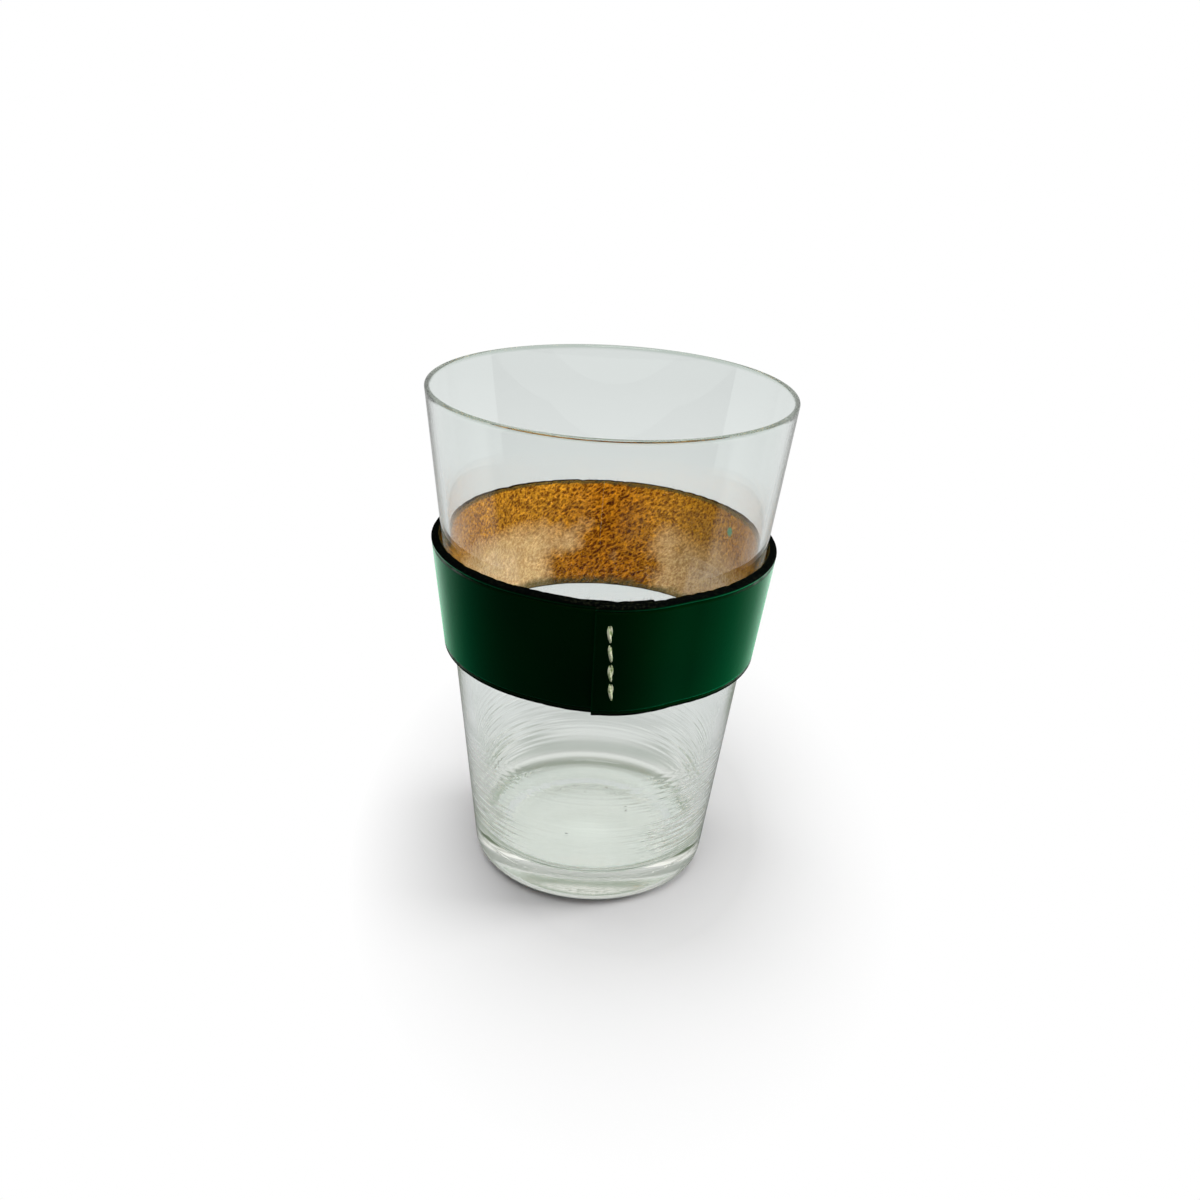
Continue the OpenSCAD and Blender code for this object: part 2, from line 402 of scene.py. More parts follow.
def makeGlassMaterial(shape):
    material, tree, shader = newMaterial("clearGlass")
    setInputs(shader, {"Base Color": shape["tint"], "Roughness": shape["roughness"],
                       "IOR": shape["indexOfRefraction"], "Transmission Weight": 1.0, "Metallic": 0.0})
    # painted shade: the rim's edge is tinted darker and greener than the wall
    place = objectPlace(tree)
    height = splitPlace(tree, place)[2]
    rimTop = shape["height"] * millimetre
    nearRim = spreadValue(tree, height, *(rimTop - depth for depth in shape["rimDepths"]))
    colour = mixColour(tree, nearRim, shape["tint"], shape["rimShadeTint"])
    for speck in shape["specks"]:
        colour = mixColour(tree, nearPoint(tree, place, speck, shape["speckRadius"]), colour, shape["speck"])
    tree.links.new(colour, shader.inputs["Base Color"])
    # fine scratches on the inner floor only
    onFloor = spreadValue(tree, awayFrom(tree, height, shape["base"] * millimetre), *shape["scratchReach"])
    scratches = mottle(tree, place, shape["scratches"])
    bumpFrom(tree, shader, multiply(tree, scratches, onFloor), shape["scratchBump"])
    return material


tumblerGlass = makeTumbler(tumbler)
tumblerGlass.data.materials.append(makeGlassMaterial(tumbler))
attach(tumblerGlass, "glass")
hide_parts("tumbler")
print("tumbler made:", len(tumblerGlass.data.polygons), "faces")


# Leather band: one strip whose outer end laps over its inner end at the front
band = {
    # millimetres and degrees
    "width": 29.5, "bottom": 61.4, "thickness": 2.2, "lowGap": 0.15, "highGap": 0.4,
    "lap": 13.0, "innerEnd": 0.6, "outerEnd": 1.05, "outerSettle": 24.0, "innerSettle": 17.0,
    "standoff": 0.8, "layerGap": 0.08, "settlePower": 1.5, "rawEndBearing": -91.3,
    "edgeRadius": 0.6, "innerEdgeRadius": 0.3,
    "creaseDistance": 1.3, "creaseWidth": 0.85, "creaseDepth": 0.34, "dyedCorner": 26.0,
    "ringStep": 0.9, "faceRows": 110, "backRows": 60, "edgeRows": 8, "innerEdgeRows": 5,
    # the cut edges dip where the random numbers rise above a level, and only within the reach
    "ragDepth": 0.42, "lowRagDepth": 0.15, "ragReach": 0.6, "ragLevel": 0.45, "ragSeed": 5,
}
# Hairs that stand out of the cut edges, most of them at the top and many near the seam
fibres = {
    "seed": 11, "count": 110, "steps": 6, "sides": 5, "radius": 0.045, "taper": 0.7, "lengths": (0.25, 0.9),
    "nearSeam": 0.45, "seamReach": 1.8, "atTop": 0.8, "below": 0.6, "bend": 0.5, "root": 0.1, "depth": 0.55,
}
# finishes of the band's faces, in the order of its materials, and the corner that changes from one to another
grainSide, suedeSide, cutEdge, rawCorner = 0, 1, 2, 3


def bandFrame(shape):
    # the band's inner face is a cone a little wider than the glass
    foot, slope, _ = glassWall(tumbler)
    rise = shape["width"] * math.cos(math.atan(slope))
    lean = math.atan(slope + (shape["highGap"] - shape["lowGap"]) / rise)
    lowRadius = foot + slope * shape["bottom"] + shape["lowGap"]
    return lean, lowRadius, lowRadius + shape["width"] / 2 * math.sin(lean) + shape["thickness"]


bandLean, bandLowRadius, bandMiddle = bandFrame(band)


def arcAngle(length):
    # angle, in degrees, of a length measured round the middle of the band
    return math.degrees(length / bandMiddle)


def outerState(turn):
    # inner face and thickness of the outer layer, a turn away from its raw end: it lifts by half a cosine
    lift = settle(np.power(np.maximum(turn / arcAngle(band["outerSettle"]), 0), band["settlePower"]))
    rise = (band["standoff"] + band["layerGap"] + band["outerEnd"]) * lift
    pared = (band["thickness"] - band["outerEnd"]) * np.maximum(1 - turn / arcAngle(band["lap"]), 0)
    return rise + pared, band["thickness"] - pared


def innerState(turn):
    # inner face and thickness of the layer below, and of the plain strip away from the lap
    pared = (band["thickness"] - band["innerEnd"]) * np.maximum(turn, 0) / arcAngle(band["lap"])
    thickness = band["thickness"] - pared
    below = outerState(turn)[0] - band["layerGap"] - thickness
    beside = band["standoff"] * settle(-turn / arcAngle(band["innerSettle"]))
    return np.where(turn > 0, below, beside), thickness


def bandPoint(bearing, depth, along):
    # point of space, in millimetres, from a bearing in degrees, a depth and a distance up the strip:
    # radius = low radius + depth * cos lean + along * sin lean, and the height likewise
    radius = bandLowRadius + depth * math.cos(bandLean) + along * math.sin(bandLean)
    angle = np.radians(bearing)
    height = band["bottom"] - depth * math.sin(bandLean) + along * math.cos(bandLean)
    return np.stack(np.broadcast_arrays(radius * np.cos(angle), radius * np.sin(angle), height), -1)


def bandSection(shape):
    # points (depth, distance up the strip), the share of the thickness that adds to each depth, and finishes
    edge, inner, width = shape["edgeRadius"], shape["innerEdgeRadius"], shape["width"]
    face = linePoints((0, edge), (0, width - edge), shape["faceRows"])
    # two creases are pressed into the outer face, each a raised cosine across
    for middle in (shape["creaseDistance"], width - shape["creaseDistance"]):
        away = (face[:, 1] - middle) / shape["creaseWidth"]
        face[:, 0] -= shape["creaseDepth"] * np.where(np.abs(away) < 0.5, (1 + np.cos(tau * away)) / 2, 0)
    share = np.linspace(0, 1, shape["edgeRows"] + 2)[1:-1]
    cut = np.stack([inner * (1 - share) - edge * share, np.zeros(len(share))], -1)
    runs = (
        (arcPoints((inner, inner), inner, 180, 270, shape["innerEdgeRows"]), 0, cutEdge),
        (cut, share, cutEdge),
        (arcPoints((-edge, edge), edge, 270, 360, shape["edgeRows"]), 1, cutEdge),
        (face, 1, grainSide),
        (arcPoints((-edge, width - edge), edge, 0, 90, shape["edgeRows"]), 1, cutEdge),
        (cut[::-1] + (0, width), share[::-1], cutEdge),
        (arcPoints((inner, width - inner), inner, 90, 180, shape["innerEdgeRows"]), 0, rawCorner),
        (linePoints((0, width - inner), (0, inner), shape["backRows"]), 0, suedeSide))
    return (np.concatenate([points for points, _, _ in runs]),
            np.concatenate([np.broadcast_to(part, len(points)) for points, part, _ in runs]),
            np.concatenate([np.full(len(points), finish) for points, _, finish in runs]))


def looseFibres(shape, total):
    # each hair is a tube whose path rises evenly and bends aside with the square of its share
    rng = np.random.default_rng(shape["seed"])
    count = shape["count"]
    nearSeam = rng.random(count) < shape["nearSeam"]
    seamWalk = rng.random(count) * arcAngle(band["lap"]) * shape["seamReach"]
    walk = np.where(nearSeam, seamWalk, rng.random(count) * total)
    top = rng.random(count) < shape["atTop"]
    turn = arcAngle(band["lap"]) - walk
    depth, thick = innerState(turn)
    length = rng.uniform(*shape["lengths"], count)
    bend = rng.normal(0, shape["bend"], (count, 2))
    share = np.linspace(0, 1, shape["steps"])
    shells = []
    for i in range(count):
        rise = (length[i] * share - shape["root"]) * (1 if top[i] else -shape["below"])
        along = (band["width"] if top[i] else 0.0) + rise
        across = depth[i] + thick[i] * shape["depth"] + bend[i, 0] * length[i] * share ** 2
        bearing = band["rawEndBearing"] + turn[i] + arcAngle(bend[i, 1] * length[i]) * share ** 2
        path = bandPoint(bearing, across, along)
        shells.append(tubeAlong(path, shape["radius"] * (1 - shape["taper"] * share), shape["sides"]))
    return joinShells(shells)


def raggedDips(rng, count, depth):
    # dips along a cut edge: random numbers averaged over three neighbours, and what rises above the level
    mean = np.convolve(rng.random(count + 2), np.ones(3) / 3, "valid")
    return depth * np.maximum(mean - band["ragLevel"], 0) / (1 - band["ragLevel"])


def makeBand(shape):
    # a ring of the section at each step of the walk along the strip, with depth + share * thickness as its
    # distance from the band's cone
    total = 360 + arcAngle(shape["lap"])
    walk = np.append(np.arange(0, total - 0.1, shape["ringStep"]), total)
    turn = arcAngle(shape["lap"]) - walk
    onTop = turn + 360 < arcAngle(shape["outerSettle"])
    depth, thick = (np.where(onTop, outer, inner)[:, None]
                    for outer, inner in zip(outerState(turn + 360), innerState(turn)))
    section, share, finish = bandSection(shape)
    across = depth + section[None, :, 0] + share[None] * thick
    # the cut edges dip towards the strip's middle
    rng = np.random.default_rng(shape["ragSeed"])
    highShare = np.clip(1 - (shape["width"] - section[:, 1]) / shape["ragReach"], 0, 1)
    lowShare = np.clip(1 - section[:, 1] / shape["ragReach"], 0, 1)
    highDips = raggedDips(rng, len(turn), shape["ragDepth"])[:, None] * highShare
    lowDips = raggedDips(rng, len(turn), shape["lowRagDepth"])[:, None] * lowShare
    along = section[None, :, 1] - highDips + lowDips
    points = bandPoint(shape["rawEndBearing"] + turn[:, None], across, along)
    rows, columns = across.shape
    hairPoints, hairFaces = looseFibres(fibres, total)
    points = np.concatenate([points.reshape(-1, 3), hairPoints])
    hairFaces = [[index + rows * columns for index in face] for face in hairFaces]
    faces = gridFaces(rows, columns).tolist() + endFaces(rows, columns) + hairFaces
    piece = addPiece("leatherBand", points * millimetre, faces)
    # the inner top corner shows raw suede, and is dyed near the seam
    finishOfFace = np.repeat(finish[None], rows - 1, axis=0)
    fromSeam = np.abs((turn[:-1, None] + 180) % 360 - 180)
    corner = np.where(fromSeam > shape["dyedCorner"], suedeSide, cutEdge)
    finishOfFace = np.where(finishOfFace == rawCorner, corner, finishOfFace).ravel()
    finishOfFace = np.concatenate([finishOfFace, np.full(2 + len(hairFaces), cutEdge)]).astype(np.int32)
    piece.data.polygons.foreach_set("material_index", finishOfFace)
    upStrip = (along / shape["width"]).ravel()
    addAttribute(piece, "upStrip", np.concatenate([upStrip, np.ones(len(hairPoints))]))
    return piece


# Grain side: a near-black green dye under wax, whose green sheen shows where the leather is seen aslant
grainLook = {
    "green": (0.0002, 0.0095, 0.0004, 1.0), "darker": (0.0002, 0.0060, 0.0003, 1.0),
    "patches": (60.0, 4.0, 0.35, 0.7), "pores": (1500.0, 3.0, 0.3, 0.7), "poreBump": (0.25, 0.00003),
    "roughness": (0.3, 0.38), "specular": 0.08,
    "sheen": 1.0, "sheenRoughness": 0.33, "sheenTint": (0.006, 0.66, 0.255, 1.0),
    "coatRange": (0.68, 0.97, 0.02, 1.0), "coatRoughness": 0.2,
    "creaseShare": 0.044, "creaseBreaks": (260.0, 3.0, 0.4, 0.65),
}
# Suede side: painted light and shade on tan nap: darker and strongly coloured in the middle of the back, lit
# golden beside it, lit pale low down at the sides and shaded towards the right, each with a ground and paler
# strokes
suedeLook = {
    "dark": (0.035, 0.006, 0.0005, 1.0), "middle": (0.125, 0.036, 0.0008, 1.0),
    "stroke": (0.74, 0.285, 0.010, 1.0),
    "goldenGround": (0.21, 0.068, 0.0035, 1.0), "golden": (1.0, 0.48, 0.03, 1.0), "goldenShare": 0.6,
    "paleGround": (0.60, 0.38, 0.17, 1.0), "pale": (1.0, 0.78, 0.42, 1.0),
    # the nap lies in slanted strokes: thin lines where one noise is near its middle, and strands of another
    "slope": 0.6, "squeeze": 0.5, "lineNoise": (1050.0, 1.0, 0.0, 1.0), "lineWidths": (0.07, 0.0315),
    "strands": (1450.0, 3.0, 0.42, 0.60), "lineShare": 0.45, "fineNap": (2700.0, 2.0, 0.35, 0.65),
    "strokeLevels": (0.6, 1.0), "strokeRelief": 0.6, "napBump": (0.9, 0.0005),
    "patches": (75.0, 4.0, 0.35, 0.65), "patchShare": 0.35,
    "clumps": (240.0, 2.0, 0.3, 0.7), "clumpLevels": (0.78, 1.0),
    # where the zones of painted light and shade lie, in metres across and up
    "middlePlace": 0.001, "middleEdge": (0.00825, 0.0242), "wander": 0.009,
    # painted light low down at the sides, a little weaker towards the right, and painted shade towards the
    # right
    "litLowHeights": (0.083, 0.073), "litLowRange": (0.40, 1.0), "litLowRight": (-0.005, 0.02, 1.0, 0.8),
    "shadedRight": (0.008, 0.028, 1.0, 0.54),
    # dye that has crept in from both edges, as shares of the strip's width, and one fleck of it
    "bleed": (0.035, 0.045, 0.018, 1.0), "bleedShare": 0.8, "creep": (260.0, 3.0, 0.3, 0.7),
    "creepDepth": 0.07, "lowBleed": (0.06, 0.0), "highBleed": (0.976, 0.99), "highCreep": 0.3,
    "fleck": (0.0, 0.19, 0.11, 1.0), "fleckPlace": (0.0349, 0.0204, 0.0852), "fleckRadius": 0.0014,
    "fleckNap": (0.0, 0.2, 0.5, 1.0),
}
# Cut edges: black dye over fibres that show a little more at one worn place
edgeLook = {
    "dye": (0.0012, 0.0018, 0.0016, 1.0), "fibre": (0.11, 0.12, 0.06, 1.0),
    "fibres": (1500.0, 5.0, 0.5, 0.72), "wornPlace": (0.003, -0.044, 0.0905), "wornReach": 0.013,
    "wornLevels": (0.04, 0.12),
    "roughness": 0.7, "relief": (1100.0, 4.0, 0.4, 0.7), "reliefBump": (0.5, 0.00008),
}


def makeGrainMaterial(look):
    material, tree, shader = newMaterial("dyedGrainLeather")
    place = objectPlace(tree)
    patches = mottle(tree, place, look["patches"])
    tree.links.new(mixColour(tree, patches, look["green"], look["darker"]), shader.inputs["Base Color"])
    tree.links.new(spreadValue(tree, patches, 0, 1, *look["roughness"]), shader.inputs["Roughness"])
    setInputs(shader, {"Specular IOR Level": look["specular"], "Sheen Weight": look["sheen"],
                       "Sheen Roughness": look["sheenRoughness"], "Sheen Tint": look["sheenTint"],
                       "Coat Roughness": look["coatRoughness"]})
    # the wax shines where the leather is seen well aslant, and in broken stretches of the two creases
    facing = addNode(tree, "ShaderNodeLayerWeight").outputs["Facing"]
    aslant = spreadValue(tree, facing, *look["coatRange"])
    fromMiddle = awayFrom(tree, readAttribute(tree, "upStrip"), 0.5)
    fromCrease = awayFrom(tree, fromMiddle, 0.5 - look["creaseShare"])
    inCrease = spreadValue(tree, fromCrease, look["creaseShare"] / 2, 0.0)
    inCrease = multiply(tree, inCrease, mottle(tree, place, look["creaseBreaks"]))
    tree.links.new(calculate(tree, "MAXIMUM", aslant, inCrease), shader.inputs["Coat Weight"])
    bumpFrom(tree, shader, mottle(tree, place, look["pores"]), look["poreBump"])
    return material


def slantPlace(tree, place, slope, squeeze):
    # the place turned in the XZ plane and squeezed along the turned X, so that a noise read there runs in
    # slanted strokes
    x, y, z = splitPlace(tree, place)
    turnX, turnZ = math.cos(slope), math.sin(slope)
    along = add(tree, multiply(tree, x, turnX), multiply(tree, z, turnZ))
    rise = calculate(tree, "SUBTRACT", multiply(tree, z, turnX), multiply(tree, x, turnZ))
    slanted = addNode(tree, "ShaderNodeCombineXYZ")
    for socket, value in zip(slanted.inputs, (multiply(tree, along, squeeze), y, rise)):
        tree.links.new(value, socket)
    return slanted.outputs[0]


def makeSuedeMaterial(look):
    material, tree, shader = newMaterial("tanSuede")
    place = objectPlace(tree)
    x, _, z = splitPlace(tree, place)
    slanted = slantPlace(tree, place, look["slope"], look["squeeze"])
    fineNap = mottle(tree, slanted, look["fineNap"])
    lines = awayFrom(tree, mottle(tree, slanted, look["lineNoise"]), 0.5)
    lines = spreadValue(tree, lines, *look["lineWidths"])
    strokes = weigh(tree, look["lineShare"], lines, mottle(tree, slanted, look["strands"]))
    # masks of the painted light: aside runs from the middle of the back to its sides, and the lit-low mask is
    # 1 low down there
    patches = mottle(tree, place, look["patches"])
    fromMiddle = awayFrom(tree, x, look["middlePlace"])
    fromMiddle = add(tree, fromMiddle, multiply(tree, patches, look["wander"]))
    aside = spreadValue(tree, fromMiddle, *look["middleEdge"])
    lowDown = spreadValue(tree, z, *look["litLowHeights"])
    litLow = add(tree, multiply(tree, aside, lowDown), multiply(tree, patches, look["patchShare"]))
    litLow = spreadValue(tree, litLow, *look["litLowRange"])
    litLow = multiply(tree, litLow, spreadValue(tree, x, *look["litLowRight"]))
    ground = mixColour(tree, fineNap, look["dark"], look["middle"])
    # painted light: golden beside the middle of the back and pale low down at the sides, on both ground and
    # strokes
    ground = mixColour(tree, multiply(tree, aside, look["goldenShare"]), ground, look["goldenGround"])
    ground = mixColour(tree, litLow, ground, look["paleGround"])
    nap = mixColour(tree, aside, look["stroke"], look["golden"])
    nap = mixColour(tree, litLow, nap, look["pale"])
    strength = multiply(tree, strokes, spreadValue(tree, fineNap, 0, 1, *look["strokeLevels"]))
    colour = mixColour(tree, strength, ground, nap)
    # painted shade: darker towards the right
    colour = shade(tree, colour, spreadValue(tree, x, *look["shadedRight"]))
    clumps = mottle(tree, place, look["clumps"])
    colour = shade(tree, colour, spreadValue(tree, clumps, 0, 1, *look["clumpLevels"]))
    # dye has crept a little way in from both edges
    upStrip = readAttribute(tree, "upStrip")
    creep = multiply(tree, mottle(tree, place, look["creep"]), look["creepDepth"])
    low = spreadValue(tree, calculate(tree, "SUBTRACT", upStrip, creep), *look["lowBleed"])
    high = spreadValue(tree, add(tree, upStrip, multiply(tree, creep, look["highCreep"])), *look["highBleed"])
    dyed = multiply(tree, calculate(tree, "MAXIMUM", low, high), look["bleedShare"])
    colour = mixColour(tree, dyed, colour, look["bleed"])
    fleck = nearPoint(tree, place, look["fleckPlace"], look["fleckRadius"])
    fleck = multiply(tree, fleck, spreadValue(tree, fineNap, *look["fleckNap"]))
    colour = mixColour(tree, fleck, colour, look["fleck"])
    tree.links.new(colour, shader.inputs["Base Color"])
    setInputs(shader, {"Roughness": 1.0, "Specular IOR Level": 0.0})
    bumpFrom(tree, shader, weigh(tree, look["strokeRelief"], strokes, fineNap), look["napBump"])
    return material


def makeEdgeMaterial(look):
    material, tree, shader = newMaterial("burnishedEdge")
    place = objectPlace(tree)
    worn = nearPoint(tree, place, look["wornPlace"], look["wornReach"])
    worn = spreadValue(tree, worn, 0, 1, *look["wornLevels"])
    showing = multiply(tree, mottle(tree, place, look["fibres"]), worn)
    tree.links.new(mixColour(tree, showing, look["dye"], look["fibre"]), shader.inputs["Base Color"])
    setInputs(shader, {"Roughness": look["roughness"], "Specular IOR Level": 0.0})
    bumpFrom(tree, shader, mottle(tree, place, look["relief"]), look["reliefBump"])
    return material


leatherBand = makeBand(band)
for material in (makeGrainMaterial(grainLook), makeSuedeMaterial(suedeLook), makeEdgeMaterial(edgeLook)):
    leatherBand.data.materials.append(material)
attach(leatherBand, "band")
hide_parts("leather_band")
print("band made:", len(leatherBand.data.polygons), "faces")


# Stitching: twisted waxed thread, four stitches outside and inside and a leg in each hole
stitching = {
    # millimetres
    "count": 4, "pitch": 5.2, "thread": 0.8, "belly": 1.6, "proud": 0.5, "rowInset": 3.8, "rowLean": 1.4,
    "insideGap": 0.15, "steps": 40, "sides": 16, "legSteps": 6,
    # the plies' turns and start in radians, and their sizes as shares of the stitch's width
    "plies": 2, "turns": 0.35, "startAngle": 1.05, "phase": (0.35, 2.3),
    "tipShare": 0.3, "swellPower": 0.6, "plyOffset": 0.22, "plyRadius": 0.3, "plyRise": 0.4,
    "colour": (1.0, 1.0, 0.74, 1.0), "shade": (0.40, 0.52, 0.19, 1.0), "fibres": (1500.0, 4.0, 0.33, 0.58),
    "roughness": 0.6, "sheen": 0.2, "fibreBump": (0.5, 0.00006),
}


def holePlace(shape, index):
    # turn from the raw end and distance up the strip of a stitching hole
    lean = arcAngle(shape["rowLean"])
    turn = arcAngle(shape["rowInset"]) + lean * (0.5 - index / shape["count"])
    along = (band["width"] - shape["count"] * shape["pitch"]) / 2 + index * shape["pitch"]
    return turn, along


def stitchPlies(shape, start, end, outward, width, phase):
    # each ply winds round the stitch: middle + offset * (cos a * sideways + rise * sin a * outward), widest
    # half way and narrow where it enters the holes
    share = np.linspace(0, 1, shape["steps"])
    swell = shape["tipShare"] + (1 - shape["tipShare"]) * np.sin(np.pi * share) ** shape["swellPower"]
    along = (end - start) / np.linalg.norm(end - start)
    sideways = np.cross(along, outward)
    middle = start + share[:, None] * (end - start)
    offset = (width * shape["plyOffset"] * swell)[:, None]
    shells = []
    for ply in range(shape["plies"]):
        angle = tau * (share * shape["turns"] + ply / shape["plies"]) + shape["startAngle"] + phase
        angle = angle[:, None]
        path = middle + offset * (np.cos(angle) * sideways + shape["plyRise"] * np.sin(angle) * outward)
        shells.append(tubeAlong(path, width * shape["plyRadius"] * swell, shape["sides"]))
    return shells


def makeStitching(shape):
    ends = []
    for index in range(shape["count"] + 1):
        turn, along = holePlace(shape, index)
        outerDepth, outerThick = outerState(np.array(turn))
        innerDepth, _ = innerState(np.array(turn))
        bearing = band["rawEndBearing"] + turn
        outside = outerDepth + outerThick - (shape["belly"] / 2 - shape["proud"])
        inside = innerDepth - shape["thread"] / 2 - shape["insideGap"]
        ends.append((bandPoint(bearing, outside, along), bandPoint(bearing, inside, along)))
    shells = []
    wobble, beat = shape["phase"]
    for index in range(shape["count"]):
        (outside, inside), (nextOutside, nextInside) = ends[index:index + 2]
        outward = (outside - inside) / np.linalg.norm(outside - inside)
        phase = wobble * math.sin(beat * index)
        shells += stitchPlies(shape, outside, nextOutside, outward, shape["belly"], phase)
        shells += stitchPlies(shape, inside, nextInside, outward, shape["thread"], 0.0)
    share = np.linspace(0, 1, shape["legSteps"])[:, None]
    radius = np.full(shape["legSteps"], shape["thread"] / 2)
    for outside, inside in ends:
        shells.append(tubeAlong(inside + share * (outside - inside), radius, shape["sides"]))
    points, faces = joinShells(shells)
    return addPiece("waxedThread", points * millimetre, faces)


def makeThreadMaterial(shape):
    material, tree, shader = newMaterial("waxedThread")
    twist = mottle(tree, objectPlace(tree), shape["fibres"])
    tree.links.new(mixColour(tree, twist, shape["shade"], shape["colour"]), shader.inputs["Base Color"])
    setInputs(shader, {"Roughness": shape["roughness"], "Sheen Weight": shape["sheen"]})
    bumpFrom(tree, shader, twist, shape["fibreBump"])
    return material


waxedThread = makeStitching(stitching)
waxedThread.data.materials.append(makeThreadMaterial(stitching))
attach(waxedThread, "band")
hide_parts("stitching_thread")
print("stitching made:", len(waxedThread.data.polygons), "faces")


# Studio: a white floor that keeps the glass's soft shadow, and air that is dark ahead and bright behind
studio = {
    # the floor is lit near the glass and plain white further off, in metres
    "floorSize": 6.0, "shadowReach": (0.036, 0.075), "shadowPlace": (-0.010, -0.016, 0.0),
    "shadowSquash": (1.0, 0.56, 1.0), "floorSeen": 0.518, "floorInGlass": 0.36, "floorForLight": 0.06,
    "glowInGlass": 0.7,
    # colours seen straight through the glass: the floor near and far, a greener painted light under it, a
    # painted shadow at its edge and a painted brightening in its middle
    "seenThroughGlass": (0.785, 0.815, 0.805, 1.0), "farThroughGlass": (0.725, 0.755, 0.745, 1.0),
    "farRange": (0.33, 0.5), "underGlass": (0.735, 0.81, 0.755, 1.0), "underEdge": (0.033, 0.030),
    "middleLightRange": (0.009, 0.0, 1.0, 1.12),
    "contactShadow": (0.22, 0.30, 0.22, 1.0), "contactRadius": 0.0255, "contactWidth": 0.0028,
    "contactAhead": (0.012, -0.004),
    # soft rings of gathered light on the floor round the glass
    "ringStart": 0.030, "ringReach": 0.115, "ringPitch": 0.019,
    "ringBright": (0.95, 0.965, 0.91, 1.0), "ringDark": (0.17, 0.22, 0.14, 1.0),
    # what is found ahead of the glass, and the stripes of the air, by light that has bounced inside it
    "floorAhead": (0.03, 0.035, 0.03, 1.0), "airAhead": (0.60, 0.63, 0.61, 1.0),
    "airHighAhead": (0.66, 0.74, 0.66, 1.0), "airHigh": (0.3, 0.6),
    "stripeTurns": 4.0, "stripeEdge": (-0.5, 0.5), "stripeDark": (0.12, 0.16, 0.09, 1.0),
    "stripeBright": (1.0, 1.0, 0.94, 1.0),
    # light that reaches the suede and the floor through the glass
    "suedeLight": (5.3, 4.95, 4.6, 1.0), "floorLight": (0.2, 0.2, 0.2, 1.0),
    # levels mirrored by the leather and the glass, ahead and behind, and the air's plain light
    "leatherMirror": (0.01, 1.5), "glassMirror": (0.04, 0.55), "insideMirror": (0.36, 0.42, 0.33, 1.0),
    "airLight": (-0.6, 0.3, 0.12, 0.25),
    # where ahead ends and behind begins: places on the floor and directions in the air, along Y
    "floorBehind": (0.03, 0.22), "floorBeyond": (-0.065, -0.045), "airBehind": (-0.1, 0.5),
    "airBeyond": (-0.2, 0.0),
}
lamps = {
    "overheadSoftbox": {"place": (0.0, -0.02, 1.1), "aim": (0, 0, 0), "size": (0.9, 0.9), "level": 0.85,
                        "gloss": False},
    "frontTopSoftbox": {"place": (-0.1, -0.62, 0.9), "aim": (0, 0, 0.07), "size": (0.7, 0.7), "level": 0.4,
                        "gloss": True},
    "leftSoftbox": {"place": (-0.84, 0.46, 0.3), "aim": (0, 0, 0.08), "size": (0.5, 0.8), "level": 0.4,
                    "gloss": False},
    "rightSoftbox": {"place": (0.9, 0.12, 0.3), "aim": (0, 0, 0.08), "size": (0.5, 0.8), "level": 2.1,
                     "gloss": False},
}
# light from the suede has crossed more glass surfaces than this, and light from the floor fewer
suedeCrossings = 5.5


def rayRoles(tree):
    # the ray's kind, as masks: seen by the camera, seen through glass, mirrored by leather or by glass,
    # mirrored inside the glass, bounced at all, and lighting the suede or the floor through the glass
    path = addNode(tree, "ShaderNodeLightPath").outputs
    through = path["Is Transmission Ray"]
    mirrored = multiply(tree, path["Is Glossy Ray"], calculate(tree, "SUBTRACT", 1.0, through))
    glassMirror = multiply(tree, mirrored, path["Is Singular Ray"])
    entered = calculate(tree, "GREATER_THAN", path["Transmission Depth"], 0.5)
    scattered = calculate(tree, "GREATER_THAN", path["Diffuse Depth"], 0.5)
    lighting = multiply(tree, scattered, through)
    deep = calculate(tree, "GREATER_THAN", path["Transmission Depth"], suedeCrossings)
    forSuede = multiply(tree, lighting, deep)
    return {
        "camera": path["Is Camera Ray"], "through": through,
        "leatherMirror": calculate(tree, "SUBTRACT", mirrored, glassMirror), "glassMirror": glassMirror,
        "insideMirror": multiply(tree, glassMirror, entered),
        "bounced": calculate(tree, "GREATER_THAN", path["Glossy Depth"], 0.5),
        "forSuede": forSuede, "forFloor": calculate(tree, "SUBTRACT", lighting, forSuede)}


def colourByRole(tree, shape, roles, plain, behind, beyond, dark, light):
    # the plain colour for ordinary light, replaced for each kind of ray in turn
    # behind runs from 0 ahead of the glass to 1 at its back; beyond is 0 where bounced light finds the dark
    # colour, while light that comes straight through finds the light one everywhere
    beyond = calculate(tree, "MAXIMUM", beyond, calculate(tree, "SUBTRACT", 1.0, roles["bounced"]))
    colour = plain
    for role, other in (
            ("leatherMirror", spreadValue(tree, behind, 0, 1, *shape["leatherMirror"])),
            ("glassMirror", spreadValue(tree, behind, 0, 1, *shape["glassMirror"])),
            ("insideMirror", shape["insideMirror"]),
            ("through", mixColour(tree, beyond, dark, light)),
            ("forSuede", shape["suedeLight"]), ("forFloor", shape["floorLight"]), ("camera", (1, 1, 1, 1))):
        colour = mixColour(tree, roles[role], colour, other)
    return colour


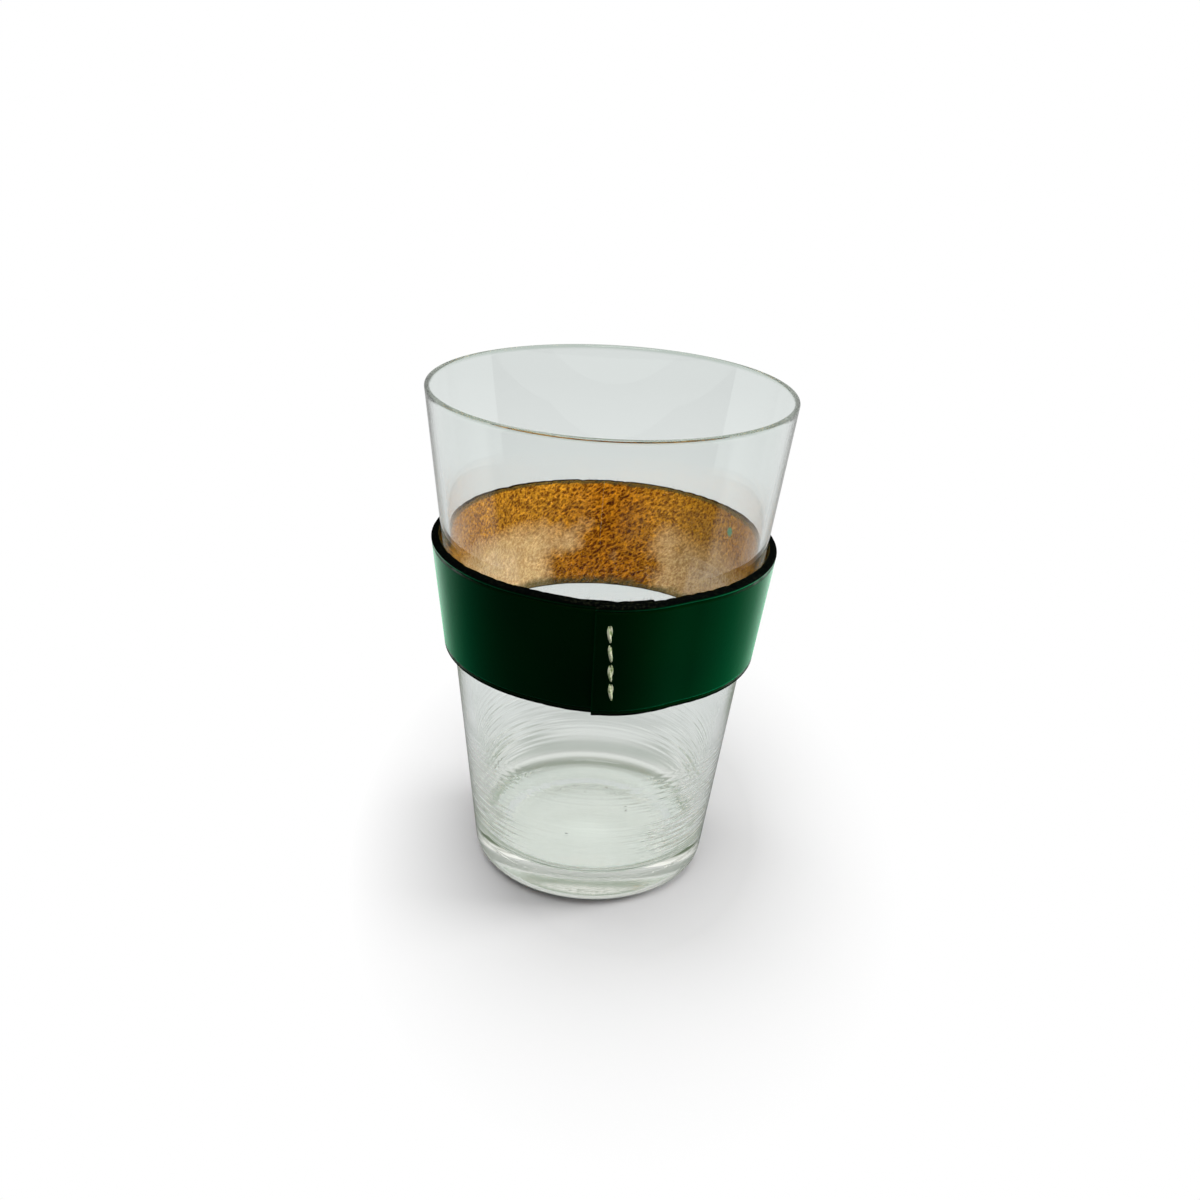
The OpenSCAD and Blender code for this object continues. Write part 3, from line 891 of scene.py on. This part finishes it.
def floorGlow(tree, shape, radius, ahead):
    # through the glass the floor shows soft rings of gathered light round it, and a greener patch of painted
    # light under it, tinted as by the glass's thick base
    outward = calculate(tree, "MAXIMUM", calculate(tree, "SUBTRACT", radius, shape["ringStart"]), 0.0)
    wave = calculate(tree, "SINE", multiply(tree, outward, -tau / shape["ringPitch"]))
    rings = mixColour(tree, spreadValue(tree, wave, -1.0, 1.0), shape["ringDark"], shape["ringBright"])
    close = spreadValue(tree, radius, shape["ringReach"], shape["ringStart"])
    far = spreadValue(tree, radius, *shape["farRange"])
    light = mixColour(tree, far, shape["seenThroughGlass"], shape["farThroughGlass"])
    light = mixColour(tree, multiply(tree, close, close), light, rings)
    # painted light: the greener patch under the glass
    light = mixColour(tree, spreadValue(tree, radius, *shape["underEdge"]), light, shape["underGlass"])
    # painted shadow: a darker line where its foot touches the floor, on the near half only
    footShadow = spreadValue(tree, awayFrom(tree, radius, shape["contactRadius"]), shape["contactWidth"], 0.0)
    footShadow = multiply(tree, footShadow, spreadValue(tree, ahead, *shape["contactAhead"]))
    light = mixColour(tree, footShadow, light, shape["contactShadow"])
    # painted light: brighter towards the middle of the floor under the glass
    return shade(tree, light, spreadValue(tree, radius, *shape["middleLightRange"]))


def makeFloor(shape):
    size = shape["floorSize"] / 2
    corners = np.array([[-size, -size, 0.0], [size, -size, 0.0], [size, size, 0.0], [-size, size, 0.0]])
    floor = addPiece("paleFloor", corners, [[0, 1, 2, 3]], smooth=False)
    material, tree, shader = newMaterial("paleFloor")
    tree.nodes.remove(shader)
    roles = rayRoles(tree)
    place = objectPlace(tree)
    ahead = splitPlace(tree, place)[1]
    # the shadow's zone is longer along Y than across
    zone = vectorStep(tree, "ADD", place, shape["shadowPlace"])
    zone = vectorStep(tree, "MULTIPLY", zone, shape["shadowSquash"])
    away = spreadValue(tree, vectorStep(tree, "LENGTH", zone, None, "Value"), *shape["shadowReach"])
    pale = mixColour(tree, roles["through"], grey(shape["floorForLight"]), grey(shape["floorInGlass"]))
    lit = addNode(tree, "ShaderNodeBsdfDiffuse")
    tree.links.new(mixColour(tree, roles["camera"], pale, grey(shape["floorSeen"])), lit.inputs["Color"])
    behind = spreadValue(tree, ahead, *shape["floorBehind"])
    beyond = spreadValue(tree, ahead, *shape["floorBeyond"])
    light = floorGlow(tree, shape, vectorStep(tree, "LENGTH", place, None, "Value"), ahead)
    glow = addNode(tree, "ShaderNodeEmission")
    glowColour = colourByRole(tree, shape, roles, (0, 0, 0, 1), behind, beyond, shape["floorAhead"], light)
    tree.links.new(glowColour, glow.inputs["Color"])
    # nothing but the glow for mirrors and for light that comes through the glass
    seen = calculate(tree, "MAXIMUM", roles["camera"], roles["through"])
    mirrors = add(tree, roles["leatherMirror"], roles["glassMirror"])
    lights = add(tree, roles["forSuede"], roles["forFloor"])
    glowOnly = calculate(tree, "ADD", mirrors, lights, clamp=True)
    share = calculate(tree, "MAXIMUM", away, multiply(tree, roles["through"], shape["glowInGlass"]))
    share = calculate(tree, "MAXIMUM", multiply(tree, seen, share), glowOnly)
    whole = addNode(tree, "ShaderNodeMixShader")
    for socket, value in zip(whole.inputs, (share, lit.outputs[0], glow.outputs[0])):
        tree.links.new(value, socket)
    tree.links.new(whole.outputs[0], tree.nodes["Material Output"].inputs["Surface"])
    floor.data.materials.append(material)


def makeWorld(shape):
    world = bpy.data.worlds.new("studioAir")
    bpy.context.scene.world = world
    world.use_nodes = True
    tree = world.node_tree
    _, ahead, up = splitPlace(tree, addNode(tree, "ShaderNodeTexCoord").outputs["Generated"])
    plain = spreadValue(tree, ahead, *shape["airLight"])
    behind = spreadValue(tree, ahead, *shape["airBehind"])
    beyond = spreadValue(tree, ahead, *shape["airBeyond"])
    dark = mixColour(tree, spreadValue(tree, up, *shape["airHigh"]), shape["airAhead"], shape["airHighAhead"])
    # light that has bounced inside the glass finds the air striped, so its edges and ripples show as lines
    roles = rayRoles(tree)
    stripes = calculate(tree, "SINE", multiply(tree, up, shape["stripeTurns"] * tau))
    stripes = spreadValue(tree, stripes, *shape["stripeEdge"])
    striped = mixColour(tree, stripes, shape["stripeDark"], shape["stripeBright"])
    light = mixColour(tree, roles["bounced"], shape["farThroughGlass"], striped)
    colour = colourByRole(tree, shape, roles, plain, behind, beyond, dark, light)
    tree.links.new(colour, tree.nodes["Background"].inputs["Color"])


def addLamp(name, look):
    # at level 1 a white surface that faces the lamp renders white: power = pi * pi * distance squared
    place, aim = Vector(look["place"]), Vector(look["aim"])
    data = bpy.data.lights.new(name, "AREA")
    data.shape = "RECTANGLE"
    data.size, data.size_y = look["size"]
    data.energy = look["level"] * math.pi ** 2 * (aim - place).length_squared
    lamp = bpy.data.objects.new(name, data)
    bpy.context.scene.collection.objects.link(lamp)
    lamp.location = place
    lamp.rotation_euler = (aim - place).to_track_quat("-Z", "Y").to_euler()
    lamp.visible_transmission = False
    lamp.visible_glossy = look["gloss"]


makeFloor(studio)
makeWorld(studio)
for name, look in lamps.items():
    addLamp(name, look)
print("studio made")
